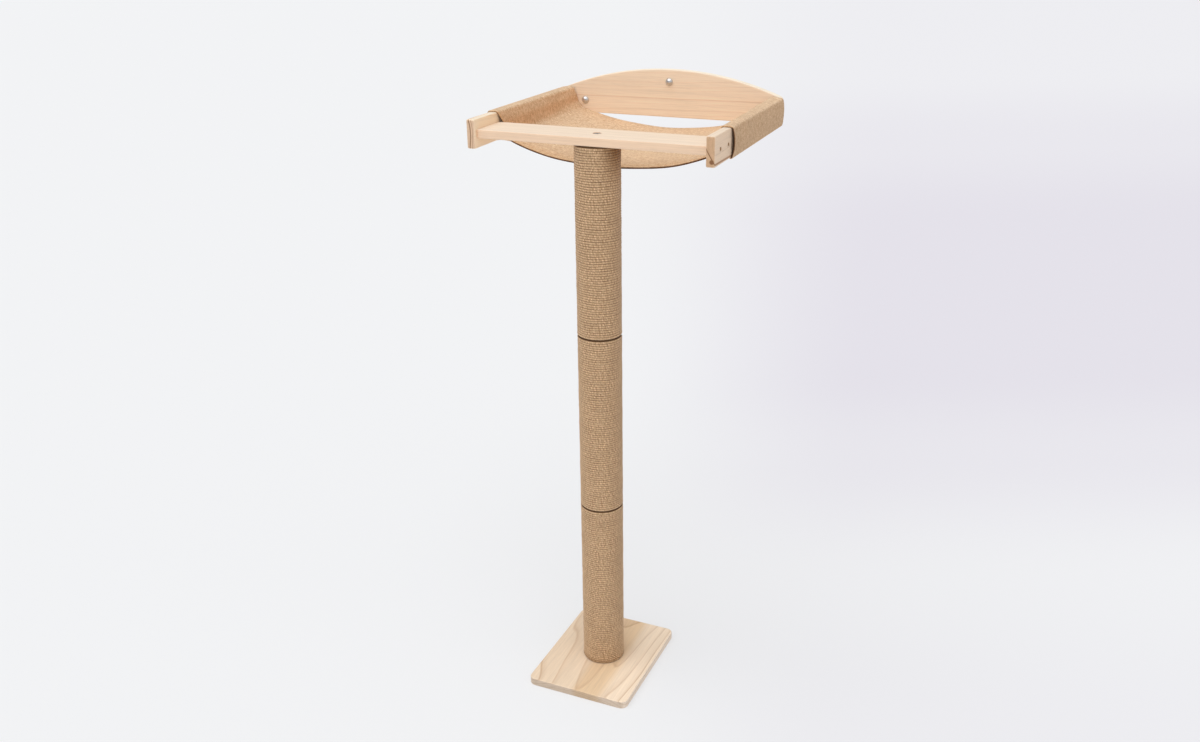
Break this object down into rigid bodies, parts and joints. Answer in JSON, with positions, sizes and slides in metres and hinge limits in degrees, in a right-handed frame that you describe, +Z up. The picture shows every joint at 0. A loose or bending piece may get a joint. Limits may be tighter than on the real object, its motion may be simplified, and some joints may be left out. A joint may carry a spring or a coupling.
{
  "type": "window cat perch",
  "caption": "Sling bed for a cat in a wooden frame, screwed to a wall at the back and held up in front by a rope-wound post on a base plate.",
  "frame": {"origin": "on the floor under the post's axis, at the middle of the base bolt's recess in the base plate's underside", "axes": "+Z up along the post, +Y to the wall that the back board is screwed to, +X to the right as seen from the front"},
  "size_m": [0.455, 0.52, 1.111],
  "materials": {
    "pine_boards": "bare planed pine, satin",
    "plug_wood": "raw plywood",
    "cardboard": "wound grey-brown cardboard",
    "rope": "twisted paper and jute rope, matte",
    "sling_cloth": "plain-woven tan burlap with a darker underside",
    "screw_steel": "zinc-plated",
    "dome_steel": "polished nickel plate"
  },
  "bodies": {
    "root": {"base_plate": "pine_boards", "base_washer": "screw_steel", "base_bolt": "screw_steel", "lower_tube": "cardboard", "lower_bottom_plug": "plug_wood", "lower_top_plug": "plug_wood", "lower_rope": "rope", "middle_tube": "cardboard", "middle_bottom_plug": "plug_wood", "middle_top_plug": "plug_wood", "middle_rope": "rope", "upper_tube": "cardboard", "upper_bottom_plug": "plug_wood", "upper_top_plug": "plug_wood", "upper_rope": "rope", "threaded_inserts": "screw_steel", "lower_stud": "screw_steel", "upper_stud": "screw_steel", "front_rail": "pine_boards", "rail_bolt": "screw_steel", "left_arm": "pine_boards", "right_arm": "pine_boards", "left_rail_screws": "screw_steel", "right_rail_screws": "screw_steel", "back_board": "pine_boards", "left_board_screws": "screw_steel", "right_board_screws": "screw_steel", "wall_screws": "dome_steel", "sling": "sling_cloth"}
  },
  "joints": []
}
